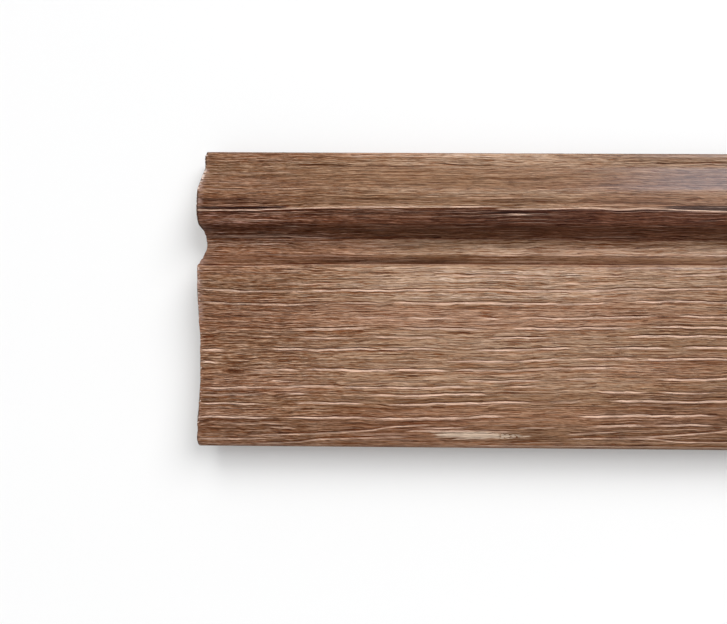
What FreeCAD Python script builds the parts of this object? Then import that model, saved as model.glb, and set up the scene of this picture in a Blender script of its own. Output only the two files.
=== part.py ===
"""Skirting board length: one moulded length of foamed plastic board, lying on its back.

The board runs along X. Y goes from the edge that meets the floor of a room to the top edge, Z from
the back to the front. The origin is under the middle of the board, at the level of its back.
"""

import FreeCAD
import Part
import Sketcher

import math
import os
from collections import namedtuple

Vector = FreeCAD.Vector
START, END = 1, 2
ROOT, ACROSS_AXIS = -1, -1

SIZES = (
    # name, millimetres, what it is
    ("stock_length", 2400.0, "length between the saw cuts"),
    ("face_height", 120.0, "floor edge to top edge"),
    ("thickness", 16.0, "back to the nose, the proudest line of the front"),
    ("lip_height", 6.4, "flat lip under the top edge"),
    ("ramp_height", 11.0, "ramp from the lip up to the band"),
    ("band_height", 8.5, "band above the nose"),
    ("brow_height", 5.3, "gentle slope under the nose"),
    ("fall_height", 2.3, "steep drop into the hollow"),
    ("cove_height", 4.9, "foot of the drop to the bottom of the hollow"),
    ("rise_height", 5.2, "gentle climb out of the hollow"),
    ("step_height", 4.2, "steep climb to the face"),
    ("upper_land", 8.0, "flat of the face under the moulding"),
    ("lower_land", 8.0, "flat of the face above the floor edge"),
    ("lip_setback", 6.6, "lip behind the nose"),
    ("band_setback", 0.7, "head of the ramp behind the nose"),
    ("brow_setback", 1.4, "brow behind the nose"),
    ("fall_setback", 6.8, "foot of the drop behind the nose"),
    ("hollow_setback", 9.2, "bottom of the hollow behind the nose"),
    ("rise_setback", 6.2, "head of the gentle climb behind the nose"),
    ("face_setback", 0.6, "face behind the nose"),
    ("dish_depth", 2.6, "fall of the two shallow slopes of the face towards its middle"),
    ("dish_arc_share", 0.75, "part of each of those slopes that their common arc takes up"),
    ("back_round", 0.6, "round of the two back edges"),
    ("top_round", 2.5, "round of the top front edge"),
    ("lip_round", 5.0, "round between the lip and the ramp"),
    ("band_round", 6.0, "round between the ramp and the band"),
    ("nose_round", 0.6, "round of the nose"),
    ("brow_round", 3.0, "round of the brow"),
    ("fall_round", 4.0, "round at the foot of the drop"),
    ("hollow_round", 2.2, "round at the bottom of the hollow"),
    ("rise_round", 6.0, "round between the two climbs"),
    ("face_round", 2.5, "round of the edge between the moulding and the face"),
    ("land_round", 30.0, "round between a land and the dished middle"),
    ("floor_round", 4.0, "round of the floor edge's front"),
    ("groove_count", 4.0, "glue grooves along the back"),
    ("groove_pitch", 24.0, "one glue groove to the next"),
    ("groove_width", 8.0, "mouth of a glue groove"),
    ("groove_depth", 1.0, "depth of a glue groove"),
    ("groove_wall_run", 0.6, "how far each wall of a glue groove leans in"),
)
MOULDING = ("lip", "ramp", "band", "brow", "fall", "cove", "rise", "step")

Corner = namedtuple("Corner", "name drop proud round")


def drop_to(band):
    """Expression for the distance from the top edge down to the foot of this band of the moulding."""
    bands = MOULDING[: MOULDING.index(band) + 1]
    return " + ".join(f"Sizes.{name}_height" for name in bands)


def behind_nose(setback):
    """Expression for the height above the back of a point that lies behind the nose."""
    return f"Sizes.thickness - Sizes.{setback}"


def section_corners():
    """Sharp corners of the section, from the back of the top edge round to the back of the floor edge.

    Each has its drop below the top edge, its height above the back and its round, as expressions. A
    drop or a height of None is nought.
    """
    face = behind_nose("face_setback")
    dish_top = f"{drop_to('step')} + Sizes.upper_land"
    dish_foot = "Sizes.face_height - Sizes.lower_land"
    half_dish = f"(({dish_foot}) - ({dish_top})) / 2"
    dish_round = f"Sizes.dish_arc_share * ({half_dish}) ^ 2 / Sizes.dish_depth"
    return (
        Corner("top_back", None, None, "Sizes.back_round"),
        Corner("top_front", None, behind_nose("lip_setback"), "Sizes.top_round"),
        Corner("lip_foot", drop_to("lip"), behind_nose("lip_setback"), "Sizes.lip_round"),
        Corner("ramp_head", drop_to("ramp"), behind_nose("band_setback"), "Sizes.band_round"),
        Corner("nose", drop_to("band"), "Sizes.thickness", "Sizes.nose_round"),
        Corner("brow", drop_to("brow"), behind_nose("brow_setback"), "Sizes.brow_round"),
        Corner("fall_foot", drop_to("fall"), behind_nose("fall_setback"), "Sizes.fall_round"),
        Corner("hollow", drop_to("cove"), behind_nose("hollow_setback"), "Sizes.hollow_round"),
        Corner("rise_head", drop_to("rise"), behind_nose("rise_setback"), "Sizes.rise_round"),
        Corner("face_edge", drop_to("step"), face, "Sizes.face_round"),
        Corner("dish_top", dish_top, face, "Sizes.land_round"),
        Corner("dish_middle", f"{dish_top} + {half_dish}", f"{face} - Sizes.dish_depth", dish_round),
        Corner("dish_foot", dish_foot, face, "Sizes.land_round"),
        Corner("floor_front", "Sizes.face_height", face, "Sizes.floor_round"),
        Corner("floor_back", "Sizes.face_height", None, "Sizes.back_round"),
    )


def make_sheet(doc):
    """Spreadsheet of the driving sizes, one alias a row."""
    sheet = doc.addObject("Spreadsheet::Sheet", "Sizes")
    for row, (name, value, meaning) in enumerate(SIZES, start=1):
        sheet.set(f"A{row}", name)
        sheet.set(f"B{row}", str(value))
        sheet.set(f"C{row}", meaning)
        sheet.setAlias(f"B{row}", name)
    doc.recompute()
    return sheet


def make_sketch(body, name):
    """Sketch on the body's upright plane across the board: its X is the row's Y, its Y the row's Z."""
    sketch = body.newObject("Sketcher::SketchObject", name)
    plane = next(item for item in body.Origin.OriginFeatures if item.Role == "YZ_Plane")
    sketch.AttachmentSupport = [(plane, "")]
    sketch.MapMode = "FlatFace"
    return sketch


def constrain(sketch, name, formula, *points):
    """Add a named dimension that follows the sheet."""
    value = float(sketch.evalExpression(formula))
    sketch.addConstraint(Sketcher.Constraint(*points, value))
    sketch.renameConstraint(sketch.ConstraintCount - 1, name)
    sketch.setExpression(f"Constraints.{name}", formula)


def end_at(sketch, geometry, point):
    """Which end of this sketch curve is the nearer to a point."""
    ends = (START, END)
    return min(ends, key=lambda end: sketch.getPoint(geometry, end).distanceToPoint(point))


def rounded(before, corner, after, radius):
    """Arc that rounds a corner between its neighbours, with its two ends in order."""
    back = (before - corner).normalize()
    ahead = (after - corner).normalize()
    half_angle = back.getAngle(ahead) / 2
    run = radius / math.tan(half_angle)
    bisector = (back + ahead).normalize()
    crown = corner + bisector * (radius / math.sin(half_angle) - radius)
    start = corner + back * run
    end = corner + ahead * run
    return Part.Arc(start, crown, end), start, end


def draw_section(sketch):
    """Draw the section: straight runs between the rounds, tied to the sharp corners they come from."""
    corners = section_corners()
    half_height = float(sketch.evalExpression("Sizes.face_height / 2"))
    values = [
        [float(sketch.evalExpression(part)) if part else 0.0 for part in corner[1:]] for corner in corners
    ]
    sharp = [Vector(half_height - drop, proud, 0) for drop, proud, _ in values]
    count = len(corners)

    arcs = []
    for index, (_, _, radius) in enumerate(values):
        arc, start, end = rounded(sharp[index - 1], sharp[index], sharp[(index + 1) % count], radius)
        geometry = sketch.addGeometry(arc, False)
        arcs.append((geometry, start, end))
    runs = []
    for index, (_, _, end) in enumerate(arcs):
        next_start = arcs[(index + 1) % count][1]
        runs.append(sketch.addGeometry(Part.LineSegment(end, next_start), False))
    points = [sketch.addGeometry(Part.Point(corner), True) for corner in sharp]

    for index, (arc, start, end) in enumerate(arcs):
        run_in, run_out = runs[index - 1], runs[index]
        arc_start, arc_end = end_at(sketch, arc, start), end_at(sketch, arc, end)
        sketch.addConstraint(Sketcher.Constraint("Tangent", run_in, END, arc, arc_start))
        sketch.addConstraint(Sketcher.Constraint("Tangent", arc, arc_end, run_out, START))
        sketch.addConstraint(Sketcher.Constraint("PointOnObject", points[index], START, run_in))
        sketch.addConstraint(Sketcher.Constraint("PointOnObject", points[index], START, run_out))

    top = points[[corner.name for corner in corners].index("top_front")]
    constrain(sketch, "top_edge", "Sizes.face_height / 2", "DistanceX", ROOT, START, top, START)
    for corner, point, (arc, _, _) in zip(corners, points, arcs):
        if corner.drop:
            constrain(sketch, f"{corner.name}_drop", corner.drop, "DistanceX", point, START, top, START)
        elif point != top:
            sketch.addConstraint(Sketcher.Constraint("Vertical", point, START, top, START))
        if corner.proud:
            constrain(sketch, f"{corner.name}_proud", corner.proud, "DistanceY", ROOT, START, point, START)
        else:
            sketch.addConstraint(Sketcher.Constraint("PointOnObject", point, START, ACROSS_AXIS))
        constrain(sketch, f"{corner.name}_round", corner.round, "Radius", arc)


def draw_groove(sketch):
    """Draw the section of the glue groove that lies nearest the floor edge, open at the back."""
    half_spread = "Sizes.groove_pitch * (Sizes.groove_count - 1) / 2"
    from_middle = float(sketch.evalExpression(half_spread))
    width = float(sketch.evalExpression("Sizes.groove_width"))
    depth = float(sketch.evalExpression("Sizes.groove_depth"))
    lean = float(sketch.evalExpression("Sizes.groove_wall_run"))
    outline = (
        Vector(-from_middle - width / 2, 0, 0),
        Vector(-from_middle + width / 2, 0, 0),
        Vector(-from_middle + width / 2 - lean, depth, 0),
        Vector(-from_middle - width / 2 + lean, depth, 0),
    )
    sides = [
        sketch.addGeometry(Part.LineSegment(point, next_point), False)
        for point, next_point in zip(outline, outline[1:] + outline[:1])
    ]
    for side, next_side in zip(sides, sides[1:] + sides[:1]):
        sketch.addConstraint(Sketcher.Constraint("Coincident", side, END, next_side, START))
    mouth, _, floor, _ = sides
    sketch.addConstraint(Sketcher.Constraint("PointOnObject", mouth, START, ACROSS_AXIS))
    sketch.addConstraint(Sketcher.Constraint("Horizontal", mouth))
    sketch.addConstraint(Sketcher.Constraint("Horizontal", floor))
    lower_edge = f"{half_spread} + Sizes.groove_width / 2"
    constrain(sketch, "lower_edge", lower_edge, "DistanceX", mouth, START, ROOT, START)
    constrain(sketch, "mouth_width", "Sizes.groove_width", "DistanceX", mouth, START, mouth, END)
    constrain(sketch, "depth", "Sizes.groove_depth", "DistanceY", mouth, START, floor, END)
    constrain(sketch, "lower_lean", "Sizes.groove_wall_run", "DistanceX", mouth, START, floor, END)
    constrain(sketch, "upper_lean", "Sizes.groove_wall_run", "DistanceX", floor, START, mouth, END)


def make_board(doc):
    """The board: its section run out to the stock length, then the glue grooves along its back."""
    body = doc.addObject("PartDesign::Body", "Board")
    body.Label = "skirting_board"

    section = make_sketch(body, "Section")
    doc.recompute()
    draw_section(section)
    length = body.newObject("PartDesign::Pad", "Length")
    length.Profile = section
    length.SideType = "Symmetric"
    length.setExpression("Length", "Sizes.stock_length")
    doc.recompute()

    groove_section = make_sketch(body, "GrooveSection")
    doc.recompute()
    draw_groove(groove_section)
    groove = body.newObject("PartDesign::Pocket", "Groove")
    groove.Profile = groove_section
    groove.SideType = "Symmetric"
    groove.Type = "Length"
    groove.setExpression("Length", "Sizes.stock_length")
    doc.recompute()

    grooves = body.newObject("PartDesign::LinearPattern", "Grooves")
    grooves.Originals = [groove]
    across = next(item for item in body.Origin.OriginFeatures if item.Role == "Y_Axis")
    grooves.Direction = (across, [""])
    grooves.Mode = "Spacing"
    grooves.setExpression("Offset", "Sizes.groove_pitch")
    grooves.setExpression("Occurrences", "Sizes.groove_count")
    body.Tip = grooves
    body.Placement = FreeCAD.Placement()
    doc.recompute()
    return body


def check(doc, bodies):
    """Stop with a message if any object failed or any solid is not sound."""
    for item in doc.Objects:
        if "Invalid" in item.State or "Error" in item.State:
            raise RuntimeError(f"{item.Name} failed: {item.State}")
        if item.TypeId == "Sketcher::SketchObject" and not item.FullyConstrained:
            raise RuntimeError(f"{item.Name} is not fully constrained")
    for body in bodies:
        if body.Shape.isNull() or not body.Shape.isValid() or len(body.Shape.Solids) != 1:
            raise RuntimeError(f"{body.Label} is not one sound solid")


def main():
    """Build the document, check it and write each sub-part's solid."""
    doc = FreeCAD.newDocument("SkirtingBoard")
    make_sheet(doc)
    bodies = [make_board(doc)]
    check(doc, bodies)
    os.makedirs("parts", exist_ok=True)
    for body in bodies:
        body.Shape.exportStep(f"parts/{body.Label}.step")
        box = body.Shape.BoundBox
        print(f"{body.Label}: {box.XLength:.2f} x {box.YLength:.2f} x {box.ZLength:.2f} mm, "
              f"{body.Shape.Volume / 1000:.1f} cm3, {len(body.Shape.Faces)} faces")


main()
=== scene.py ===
"""Looks of the skirting board length: one moulded board with a wood-grain film, lying on its back.

Sizes of the board and its grain are in millimetres, as boards are sold and measured. Meshes, lights, foam
cells and the depths of bumps are in metres.
"""

import logging
import math
from collections.abc import Sequence
from dataclasses import dataclass, field
from enum import Enum

import bpy
import numpy as np
from mathutils import Matrix, Quaternion, Vector

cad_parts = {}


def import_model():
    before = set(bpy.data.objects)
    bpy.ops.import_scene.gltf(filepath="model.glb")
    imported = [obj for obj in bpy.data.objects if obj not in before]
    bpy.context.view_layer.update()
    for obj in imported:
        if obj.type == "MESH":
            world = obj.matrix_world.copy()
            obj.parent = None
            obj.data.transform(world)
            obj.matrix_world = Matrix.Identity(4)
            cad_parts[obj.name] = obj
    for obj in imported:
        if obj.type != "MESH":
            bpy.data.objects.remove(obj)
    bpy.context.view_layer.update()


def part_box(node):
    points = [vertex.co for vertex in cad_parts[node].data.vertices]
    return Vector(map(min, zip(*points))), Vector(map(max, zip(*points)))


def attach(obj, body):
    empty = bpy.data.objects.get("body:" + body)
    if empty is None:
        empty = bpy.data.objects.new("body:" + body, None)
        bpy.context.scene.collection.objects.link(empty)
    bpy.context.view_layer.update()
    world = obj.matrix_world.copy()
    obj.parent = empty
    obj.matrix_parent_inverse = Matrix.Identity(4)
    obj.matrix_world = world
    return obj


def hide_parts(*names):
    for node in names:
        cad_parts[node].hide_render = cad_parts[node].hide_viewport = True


MM = 0.001
LOG = logging.getLogger("skirting_board")
NO_LANE = -1
NOISE_MEAN = 0.5
Socket = bpy.types.NodeSocket
Pair = tuple[float, float]
Triple = tuple[float, float, float]


class Face(Enum):
    """Which finish a face of the board wears. The value is its place among the mesh's materials."""

    FILM = 0
    CORE = 1


class Value:
    """One number of a node tree. Sums written with it become Math nodes."""

    def __init__(self, tree: "NodeTree", socket: Socket) -> None:
        """Holds the socket that the number comes out of."""
        self.tree = tree
        self.socket = socket

    def __add__(self, other: "Value | float") -> "Value":
        """Adds."""
        return self.tree.maths("ADD", self, other)

    def __sub__(self, other: "Value | float") -> "Value":
        """Subtracts from this number."""
        return self.tree.maths("SUBTRACT", self, other)

    def __rsub__(self, other: float) -> "Value":
        """Subtracts this number."""
        return self.tree.maths("SUBTRACT", other, self)

    def __mul__(self, other: "Value | float") -> "Value":
        """Multiplies."""
        return self.tree.maths("MULTIPLY", self, other)

    def __truediv__(self, other: "Value | float") -> "Value":
        """Divides this number."""
        return self.tree.maths("DIVIDE", self, other)

    def __pow__(self, power: float) -> "Value":
        """Raises this number to a power."""
        return self.tree.maths("POWER", self, power)

    def __abs__(self) -> "Value":
        """Drops the sign."""
        return self.tree.maths("ABSOLUTE", self)

    __radd__ = __add__
    __rmul__ = __mul__

    def clamp(self) -> "Value":
        """Keeps the number between 0 and 1."""
        return self.tree.maths("ADD", self, 0.0, clamp=True)

    def ramp(self, start: float, end: float) -> "Value":
        """Goes smoothly from 0 at start to 1 at end.

        Args:
            start: where the number is 0.
            end: where it reaches 1; it may be below start.

        Returns:
            The eased number.
        """
        low, high = sorted((start, end))
        eased = self.tree.node(
            "ShaderNodeMapRange",
            {"interpolation_type": "SMOOTHSTEP"},
            {"Value": self, "From Min": low, "From Max": high},
        )
        raised = Value(self.tree, eased.outputs["Result"])
        return raised if start < end else 1.0 - raised

    def within(self, start: float, end: float, soft: float) -> "Value":
        """Is 1 from start to end, and fades outside them over a soft stretch."""
        return self.ramp(start - soft, start) * self.ramp(end + soft, end)


class NodeTree:
    """The nodes of one material."""

    def __init__(self, name: str) -> None:
        """Starts an empty material.

        Args:
            name: the material's name.
        """
        self.material = bpy.data.materials.new(name)
        self.material.use_nodes = True
        self.tree = self.material.node_tree
        self.tree.nodes.clear()

    def node(self, kind: str, settings: dict | None = None, sockets: dict | None = None) -> bpy.types.Node:
        """Adds any node.

        Args:
            kind: the node's type.
            settings: its own settings, which are set first; points are those of a curve.
            sockets: values or links of its input sockets, by name or number.

        Returns:
            The node.
        """
        made = self.tree.nodes.new(kind)
        for name, setting in (settings or {}).items():
            if name == "points":
                self.bend_curve(made.mapping, setting)
            else:
                setattr(made, name, setting)
        for name, given in (sockets or {}).items():
            if isinstance(given, Value):
                given = given.socket
            if isinstance(given, Socket):
                self.tree.links.new(given, made.inputs[name])
            else:
                made.inputs[name].default_value = given
        return made

    @staticmethod
    def bend_curve(mapping: bpy.types.CurveMapping, points: Sequence[Pair]) -> None:
        """Lays a node's curve through points.

        Args:
            mapping: the node's curves, of which the first is bent.
            points: the points, from left to right.
        """
        curve = mapping.curves[0]
        for _ in points[2:]:
            curve.points.new(0.5, 0.5)
        for knot, spot in zip(curve.points, points):
            knot.location = spot
        mapping.update()

    def maths(self, operation: str, *given: Value | float, clamp: bool = False) -> Value:
        """Adds a Math node.

        Args:
            operation: what it does.
            given: the numbers that it works on.
            clamp: whether the result stays between 0 and 1.

        Returns:
            The result.
        """
        settings = {"operation": operation, "use_clamp": clamp}
        made = self.node("ShaderNodeMath", settings, dict(enumerate(given)))
        return Value(self, made.outputs[0])

    def place(self, name: str) -> tuple[Socket, list[Value]]:
        """Reads three numbers that the mesh holds for each point.

        Args:
            name: the attribute's name.

        Returns:
            The numbers as one vector, and each by itself.
        """
        read = self.node("ShaderNodeAttribute", {"attribute_name": name})
        apart = self.node("ShaderNodeSeparateXYZ", None, {"Vector": read.outputs["Vector"]})
        return read.outputs["Vector"], [Value(self, socket) for socket in apart.outputs]

    def noise(self, place: Socket, cell: Sequence[float], shift: float, detail: float) -> Value:
        """Adds noise whose spots are as large as a cell.

        Args:
            place: the place that it is read at.
            cell: the size of a spot each way; with two sizes it is flat.
            shift: how far it lies from other noise of like cells.
            detail: how many finer layers it has.

        Returns:
            A number about NOISE_MEAN.
        """
        sizes = (*cell, 1.0)[:3]
        moved = self.node(
            "ShaderNodeMapping",
            None,
            {
                "Vector": place,
                "Location": (shift, 2.0 * shift, 3.0 * shift),
                "Scale": [1.0 / size for size in sizes],
            },
        )
        made = self.node(
            "ShaderNodeTexNoise",
            {"noise_dimensions": f"{len(cell)}D"},
            {"Vector": moved.outputs[0], "Scale": 1.0, "Detail": detail},
        )
        return Value(self, made.outputs["Fac"])

    def mix(self, share: Value, first: Socket | Triple, second: Socket | Triple) -> Socket:
        """Mixes two colours.

        Args:
            share: how much of the second there is.
            first: the colour at 0.
            second: the colour at 1.

        Returns:
            The mixed colour.
        """
        made = self.node(
            "ShaderNodeMix",
            {"data_type": "RGBA", "clamp_factor": True},
            {"Factor": share, 6: self.colour(first), 7: self.colour(second)},
        )
        return made.outputs[2]

    @staticmethod
    def colour(given: Socket | Triple) -> Socket | tuple:
        """Gives a plain colour its alpha, and passes a link on."""
        return given if isinstance(given, Socket) else (*given, 1.0)

    def shifted(self, place: Socket, across: Value) -> Socket:
        """Moves a place across the grain."""
        way = self.node("ShaderNodeCombineXYZ", None, {"Y": across})
        sockets = {"Vector": place, "Location": way.outputs[0]}
        return self.node("ShaderNodeMapping", None, sockets).outputs[0]

    def toned(self, colour: Socket | Triple, tone: Value, channels: Triple) -> Socket:
        """Lightens or darkens a colour.

        Args:
            colour: the colour.
            tone: 0 leaves it, and each step of 1 changes it by a factor of about 2.7.
            channels: how strongly red, green and blue follow the tone.

        Returns:
            The changed colour.
        """
        factors = [self.maths("EXPONENT", tone * channel) for channel in channels]
        joined = self.node("ShaderNodeCombineXYZ", None, dict(enumerate(factors)))
        sockets = {0: colour, 1: joined.outputs[0]}
        return self.node("ShaderNodeVectorMath", {"operation": "MULTIPLY"}, sockets).outputs[0]

    def finish(self, sockets: dict) -> bpy.types.Material:
        """Adds the shader and the output.

        Args:
            sockets: values or links of the shader's sockets.

        Returns:
            The material.
        """
        shader = self.node("ShaderNodeBsdfPrincipled", None, sockets)
        self.node("ShaderNodeOutputMaterial", None, {"Surface": shader.outputs[0]})
        return self.material


def faded(inside: np.ndarray, over: float) -> np.ndarray:
    """Goes from 0 to 1 as the distance inside an edge grows to a full stretch."""
    return np.clip(inside / over, 0.0, 1.0)


@dataclass(frozen=True)
class Corner:
    """One corner of the section: its drop from the top edge, its height above the back, and its round."""

    drop: float
    height: float
    round: float


@dataclass(frozen=True)
class GlueGroove:
    """The grooves in the back, which hold the adhesive."""

    count: int = 4
    pitch: float = 24.0
    width: float = 8.0
    depth: float = 1.0
    lean: float = 0.6

    def outline(self) -> list[Pair]:
        """Walks over the back from its foot to its top.

        Returns:
            The grooves' corners, as a place across the board and a height above the back.
        """
        mouth = 0.5 * self.width
        floor = mouth - self.lean
        mouth_to_mouth = ((-mouth, 0.0), (-floor, self.depth), (floor, self.depth), (mouth, 0.0))
        middles = [(number - 0.5 * (self.count - 1)) * self.pitch for number in range(self.count)]
        return [(middle + across, height) for middle in middles for across, height in mouth_to_mouth]


@dataclass(frozen=True)
class BoardSection:
    """The moulded section: a flat lip, a ramp up to the nose, a cove under it, and a broad dished face."""

    face_height: float = 120.0
    corners: tuple[Corner, ...] = (
        Corner(0.0, 9.4, 2.5),
        Corner(6.4, 9.4, 5.0),
        Corner(17.4, 15.3, 6.0),
        Corner(25.9, 16.0, 0.6),
        Corner(31.2, 14.6, 3.0),
        Corner(33.5, 9.2, 4.0),
        Corner(38.4, 6.8, 2.2),
        Corner(43.6, 9.8, 6.0),
        Corner(47.8, 15.4, 2.5),
        Corner(55.8, 15.4, 30.0),
        Corner(83.9, 12.8, 227.8),
        Corner(112.0, 15.4, 30.0),
        Corner(120.0, 15.4, 4.0),
    )
    arc_steps: int = 24

    def rounded(self, before: Corner, corner: Corner, after: Corner) -> np.ndarray:
        """Walks round one corner.

        Args:
            before: the corner before it.
            corner: the corner itself.
            after: the corner after it.

        Returns:
            Points of its arc, as a drop and a height.
        """
        here = np.array([corner.drop, corner.height])
        back = np.array([before.drop, before.height]) - here
        ahead = np.array([after.drop, after.height]) - here
        back /= np.linalg.norm(back)
        ahead /= np.linalg.norm(ahead)
        half = 0.5 * math.acos(float(np.clip(back @ ahead, -1.0, 1.0)))
        inwards = (back + ahead) / np.linalg.norm(back + ahead)
        middle = here + inwards * corner.round / math.sin(half)
        reach = corner.round / math.tan(half)
        start = here + back * reach - middle
        end = here + ahead * reach - middle
        turn = math.atan2(start[0] * end[1] - start[1] * end[0], float(start @ end))
        angles = math.atan2(start[1], start[0]) + np.linspace(0.0, turn, self.arc_steps + 1)
        return middle + corner.round * np.column_stack([np.cos(angles), np.sin(angles)])

    def front(self) -> np.ndarray:
        """Walks from the back up the top edge, over the front and down to the foot.

        Returns:
            Points of the outline, as a drop from the top edge and a height above the back.
        """
        around = (Corner(0.0, 0.0, 0.0), *self.corners, Corner(self.face_height, 0.0, 0.0))
        arcs = [self.rounded(*around[k - 1 : k + 2]) for k in range(1, len(around) - 1)]
        return np.vstack([[0.0, 0.0], *arcs, [self.face_height, 0.0]])


@dataclass(frozen=True)
class FrontPath:
    """The front of the section by the distance walked along it from the back of the top edge."""

    section: BoardSection
    probe: float = 0.15
    outline: np.ndarray = field(init=False)
    walked: np.ndarray = field(init=False)

    def __post_init__(self) -> None:
        """Measures the outline."""
        outline = self.section.front()
        steps = np.hypot(*np.diff(outline, axis=0).T)
        object.__setattr__(self, "outline", outline)
        object.__setattr__(self, "walked", np.concatenate([[0.0], np.cumsum(steps)]))

    @property
    def length(self) -> float:
        """The whole walk."""
        return float(self.walked[-1])

    def at_drop(self, drop: float) -> float:
        """The walk to a drop on the front."""
        front = slice(1, -1)
        return float(np.interp(drop, self.outline[front, 0], self.walked[front]))

    def at(self, walk: np.ndarray) -> np.ndarray:
        """The drops and the heights at distances along the outline."""
        return np.array([np.interp(walk, self.walked, side) for side in self.outline.T])

    def out(self, walk: np.ndarray) -> np.ndarray:
        """The two parts of the way out of the surface, at distances along the outline."""
        ahead = self.at(np.clip(walk + self.probe, 0.0, self.length))
        across, up = ahead - self.at(np.clip(walk - self.probe, 0.0, self.length))
        return np.array([-up, across]) / np.hypot(across, up)


@dataclass(frozen=True)
class Wave:
    """One wave of the grain: its height, its length, how it leans across the board, and its start."""

    height: float
    length: float
    lean: float
    start: float = 0.0


@dataclass(frozen=True)
class GrainFlow:
    """How far the lines of the grain stray across the board as they run along it."""

    long_wave: float = 700.0
    long_sway: float = 1.25
    foot_sway: float = 0.8
    foot_start: float = 85.0
    foot_reach: float = 15.0
    waves: tuple[Wave, ...] = (
        Wave(0.26, 17.0, 13.0, 0.4),
        Wave(0.20, 9.3, -7.0, 2.1),
        Wave(0.13, 4.4, 4.1),
        Wave(0.09, 1.9, 2.3, 1.0),
        Wave(0.05, 1.15, -1.7),
    )

    def sway(self, along: np.ndarray, drop: np.ndarray) -> np.ndarray:
        """Works out how far a line has strayed.

        Args:
            along: the distance from the left end.
            drop: the line's mean distance from the top edge.

        Returns:
            How far below its mean place the line runs.
        """
        lower = faded(drop - self.foot_start, self.foot_reach)
        broad = (self.long_sway + self.foot_sway * lower) * np.cos(2.0 * np.pi * along / self.long_wave)
        waves = (
            wave.height * np.sin(along / wave.length + drop / wave.lean + wave.start)
            for wave in self.waves
        )
        return broad + sum(waves)


@dataclass(frozen=True)
class GrooveRow:
    """One row of points along a groove: its place across the groove, its depth, its pale and its dark.

    A dark line has no pale wall, so it is cut and coloured only at the rows that are in every line.
    """

    offset: float
    depth: float = 0.0
    pale: float = 0.0
    dark: float = 0.0
    in_every_line: bool = False


@dataclass(frozen=True)
class GrainLine:
    """One long groove of the grain.

    The marks are the stretches where it shows near the left end: start, end and strength, which is below 0
    for a dark line.
    """

    drop: float
    marks: tuple[Triple, ...] = ()


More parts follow.
